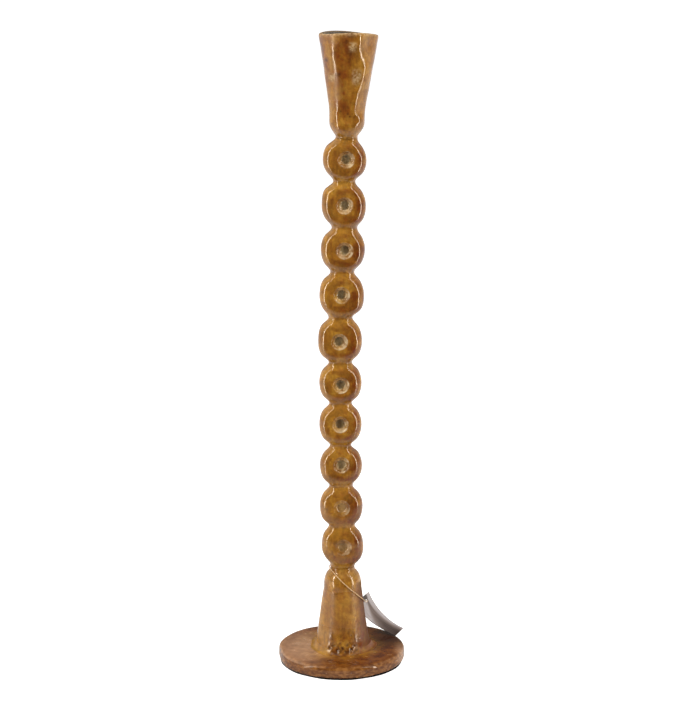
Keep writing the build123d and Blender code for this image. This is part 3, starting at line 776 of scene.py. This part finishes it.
def on_card(u, v, off):
    """Point of the card, in mm: u across its width, v from foot to top, off its middle."""
    radius = (TAG_CHORD ** 2 / 4 + TAG_BOW ** 2) / (2 * TAG_BOW)
    half = math.asin(TAG_CHORD / 2 / radius) * (2 * v - 1)
    centre = along * (TAG_CHORD / 2) + over * (radius - TAG_BOW)
    ray = along * math.sin(half) - over * math.cos(half)
    sag = over * (NEAR_SAG * (1 - u) ** 2 * math.sin(math.pi * v ** 2.2))
    return tag_foot + wide * (TAG_W * u) + centre + ray * (radius - off) - sag


columns = np.linspace(0, TAG_W, TAG_COLUMNS)
lines = np.linspace(0, TAG_LENGTH, TAG_ROWS)
outline = [(x, 0.0) for x in columns[:-1]] + [(TAG_W, y) for y in lines[:-1]]
outline += [(x, TAG_LENGTH) for x in columns[:0:-1]] + [(0.0, y) for y in lines[:0:-1]]
hole = [(hole_at.x + HOLE_R * math.cos(a), hole_at.y + HOLE_R * math.sin(a))
        for a in np.linspace(0, 2 * math.pi, HOLE_SIDES, endpoint=False)]
inner = [(x, y) for x in columns[1:-1] for y in lines[1:-1]
         if math.hypot(x - hole_at.x, y - hole_at.y) > HOLE_CLEAR]
flat = [Vector(p) for p in outline + hole + inner]
edges = []
for first, count in ((0, len(outline)), (len(outline), HOLE_SIDES)):
    edges += [(first + k, first + (k + 1) % count) for k in range(count)]
flat, _, triangles, *_ = delaunay_2d_cdt(flat, edges, [], 1, 1e-6)
triangles = [corners for corners in triangles
             if (sum((flat[i] for i in corners), Vector((0, 0))) / 3 - hole_at).length > HOLE_R - 0.01]
tag = bpy.data.meshes.new("tag")
work = bmesh.new()
card_uv = work.loops.layers.uv.new("card")
card_back = work.verts.layers.float.new("back")
sheets = []
for off in (TAG_T / 2, -TAG_T / 2):
    sheets.append([work.verts.new(on_card(p.x / TAG_W, p.y / TAG_LENGTH, off) * MM) for p in flat])
for point in sheets[1]:
    point[card_back] = 1.0
for corners in triangles:
    work.faces.new([sheets[0][i] for i in corners])
    work.faces.new([sheets[1][i] for i in reversed(corners)])
for a, b in edges:
    work.faces.new([sheets[0][b], sheets[0][a], sheets[1][a], sheets[1][b]])
bmesh.ops.recalc_face_normals(work, faces=work.faces)
flat_at = {point: place for sheet in sheets for point, place in zip(sheet, flat)}
for face in work.faces:
    for loop in face.loops:
        loop[card_uv].uv = (flat_at[loop.vert].x / TAG_W, flat_at[loop.vert].y / TAG_LENGTH)
work.to_mesh(tag)
work.free()
tag.polygons.foreach_set("use_smooth", [True] * len(tag.polygons))
tag.set_sharp_from_angle(angle=math.radians(40))
tag = keep("card_tag", tag, card_grey, "tag", "paper_tag")

# String: round the neck, down the front of the foot, through the tag and back
route = [
    (-0.00833, 0.01071, 0.08834), (-0.01030, 0.00540, 0.0885), (-0.01140, -0.00046, 0.0885),
    (-0.00990, -0.0060, 0.0882), (-0.00755, -0.0105, 0.0865), (-0.00385, -0.01475, 0.08345),
    (0.00215, -0.01788, 0.07808), (0.00908, -0.01676, 0.07132), (0.01524, -0.01291, 0.06502),
    (0.01949, -0.00751, 0.05982), (0.02151, -0.00144, 0.05562), (0.02231, 0.01023, 0.05043),
    (0.02336, 0.0255, 0.04494), (0.02413, 0.03673, 0.04186), (0.02459, 0.04346, 0.04039),
    (0.01978, 0.04533, 0.03823), (0.01535, 0.04417, 0.04025), (0.0129, 0.04043, 0.0449),
    (0.00834, 0.03348, 0.05421), (0.00238, 0.02439, 0.0677), (-0.00217, 0.01744, 0.07901),
    (-0.00524, 0.01447, 0.08428), (-0.00764, 0.01178, 0.0878)]
STRING_D = 0.8


def strand(name, points):
    """Round string along points, in metres: its curve, and the spline that it follows."""
    line = bpy.data.curves.new(name, "CURVE")
    line.dimensions = "3D"
    spline = line.splines.new("NURBS")
    spline.points.add(len(points) - 1)
    for point, place in zip(spline.points, points):
        point.co = (*place, 1)
    spline.order_u = 3
    line.bevel_depth = STRING_D / 2 * MM
    line.bevel_resolution = 3
    line.materials.append(cotton)
    return line, spline


line, spline = strand("string", route)
spline.use_endpoint_u = True
line.resolution_u = 10
line.use_fill_caps = True
string = bpy.data.objects.new("string", line)
bpy.context.collection.objects.link(string)
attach(string, "string")
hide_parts("tag_string")

# Knot: an overhand turn drawn tight
KNOT_SCALE = 0.3
knot_at = Vector((-0.00799, 0.01138, 0.08832))
turns = [(math.sin(a) + 2 * math.sin(2 * a), math.cos(a) - 2 * math.cos(2 * a), -math.sin(3 * a))
         for a in np.linspace(0, 2 * math.pi, 24, endpoint=False)]
line, spline = strand("knot", [knot_at + Vector(p) * KNOT_SCALE * MM for p in turns])
spline.use_cyclic_u = True
knot = bpy.data.objects.new("knot_blank", line)
bpy.context.collection.objects.link(knot)
knot = keep("tied_knot", plain(knot), cotton, "string", "string_knot")

# Floor: white, keeps the shadow, glows in the glaze: not near the stand, a painted shade round it,
# more further off; fades out in front so that no edge shows in the glaze
FLOOR_HALF, FLOOR_FRONT, FLOOR_BACK = 15, -0.4, 30
white_floor, tree = material("white_floor")
path = add(tree, "ShaderNodeLightPath").outputs
seen = add(tree, "ShaderNodeMath", path["Is Camera Ray"], path["Is Glossy Ray"], operation="MAXIMUM")
seen = add(tree, "ShaderNodeMath", seen, path["Is Transmission Ray"], operation="MAXIMUM")
ground_at = add(tree, "ShaderNodeTexCoord").outputs["Object"]
away = add(tree, "ShaderNodeVectorMath", ground_at, operation="LENGTH").outputs["Value"]
# In the glaze the floor glows, less near the stand: painted shade round its foot
in_glaze = add(tree, "ShaderNodeMapRange", away, 0.12, 0.36, 0.0, 0.65)
level = add(tree, "ShaderNodeMix", path["Is Camera Ray"], named={NUMBER_A: in_glaze, NUMBER_B: 0.76})
level = add(tree, "ShaderNodeMath", seen, level, operation="MULTIPLY")
glow = add(tree, "ShaderNodeEmission", paint("#ffffff"), level)
lit = add(tree, "ShaderNodeAddShader", add(tree, "ShaderNodeBsdfDiffuse", paint("#eeeeee")), glow)
depth = add(tree, "ShaderNodeSeparateXYZ", ground_at).outputs["Y"]
shown = add(tree, "ShaderNodeMapRange", depth, FLOOR_FRONT, -0.10, 0.0, 1.0)
faded = add(tree, "ShaderNodeMixShader", shown, add(tree, "ShaderNodeBsdfTransparent"), lit)
add(tree, "ShaderNodeOutputMaterial", faded)
ground = bpy.data.meshes.new("floor")
corners = [(-FLOOR_HALF, FLOOR_FRONT, 0), (FLOOR_HALF, FLOOR_FRONT, 0),
           (FLOOR_HALF, FLOOR_BACK, 0), (-FLOOR_HALF, FLOOR_BACK, 0)]
ground.from_pydata(corners, [], [(0, 1, 2, 3)])
ground.materials.append(white_floor)
floor = bpy.data.objects.new("floor", ground)
bpy.context.collection.objects.link(floor)

# Studio: white to the camera; in the light and the glaze, white walls at the sides,
# dim behind the camera and straight behind the stand
room = bpy.data.worlds.new("studio")
bpy.context.scene.world = room
room.use_nodes = True
tree = room.node_tree
tree.nodes.clear()
path = add(tree, "ShaderNodeLightPath").outputs
toward = add(tree, "ShaderNodeTexCoord").outputs["Generated"]
level_way = add(tree, "ShaderNodeVectorMath", toward, (1, 1, 0), operation="MULTIPLY")
way = add(tree, "ShaderNodeSeparateXYZ", add(tree, "ShaderNodeVectorMath", level_way, operation="NORMALIZE"))
mirrored = add(tree, "ShaderNodeMath", path["Is Glossy Ray"], path["Is Transmission Ray"],
               operation="MAXIMUM")
bright = add(tree, "ShaderNodeMapRange", mirrored, 0.0, 1.0, 0.8, 1.0)
backward = add(tree, "ShaderNodeMapRange", way.outputs["Y"], -1.0, 1.0)
open_side = add(tree, "ShaderNodeValToRGB", backward,
                ramp=[(0.24, 0.12), (0.34, 0.60), (0.60, 0.80), (0.75, 1.0), (0.92, 1.0), (0.97, 0.15)])
nearer = add(tree, "ShaderNodeMapRange", way.outputs["X"], -1.0, 1.0, 1.15, 0.85)
walls = add(tree, "ShaderNodeMath", open_side, nearer, operation="MULTIPLY")
walls = add(tree, "ShaderNodeMath", walls, bright, operation="MULTIPLY")
level = add(tree, "ShaderNodeMix", path["Is Camera Ray"], named={NUMBER_A: walls, NUMBER_B: 1.0})
tint = add(tree, "ShaderNodeMix", mirrored, data_type="RGBA",
           named={COLOUR_A: paint("#ffffff"), COLOUR_B: paint("#fff6ea")})
add(tree, "ShaderNodeOutputWorld", add(tree, "ShaderNodeBackground", tint.outputs[MIXED], level))


def lamp(name, place, aim, size, power, tint, in_glaze):
    """Rectangular soft light facing a point, seen in the glaze or not."""
    light = bpy.data.lights.new(name, "AREA")
    light.shape = "RECTANGLE"
    light.size, light.size_y = size
    light.energy = power
    light.color = tint
    stand = bpy.data.objects.new(name, light)
    bpy.context.collection.objects.link(stand)
    stand.location = place
    stand.rotation_euler = (Vector(aim) - Vector(place)).to_track_quat("-Z", "Y").to_euler()
    stand.visible_glossy = in_glaze


# Two tall warm strips give the lines down the glaze, two softer lamps fill from the front
WARM, WHITE = (1.0, 0.87, 0.70), (1, 1, 1)
STRIP_AWAY, STRIP_Z, STRIP_BEARING = 1.4, 0.95, math.radians(67)
STRIP_SIZE = (0.075, 3.3)
strip_x, strip_y = STRIP_AWAY * math.sin(STRIP_BEARING), -STRIP_AWAY * math.cos(STRIP_BEARING)
for hand, power in ((-1, 24), (1, 22)):
    lamp("strip", (hand * strip_x, strip_y, STRIP_Z), (0, 0, STRIP_Z), STRIP_SIZE, power, WARM, True)
lamp("top", (0, -0.9, 1.9), (0, 0, 0.3), (1.0, 1.0), 14, WHITE, False)
lamp("fill", (0.3, -2.4, 1.2), (0, 0, 0.3), (1.5, 1.5), 12, WHITE, False)

bpy.context.scene.view_settings.view_transform = "Standard"
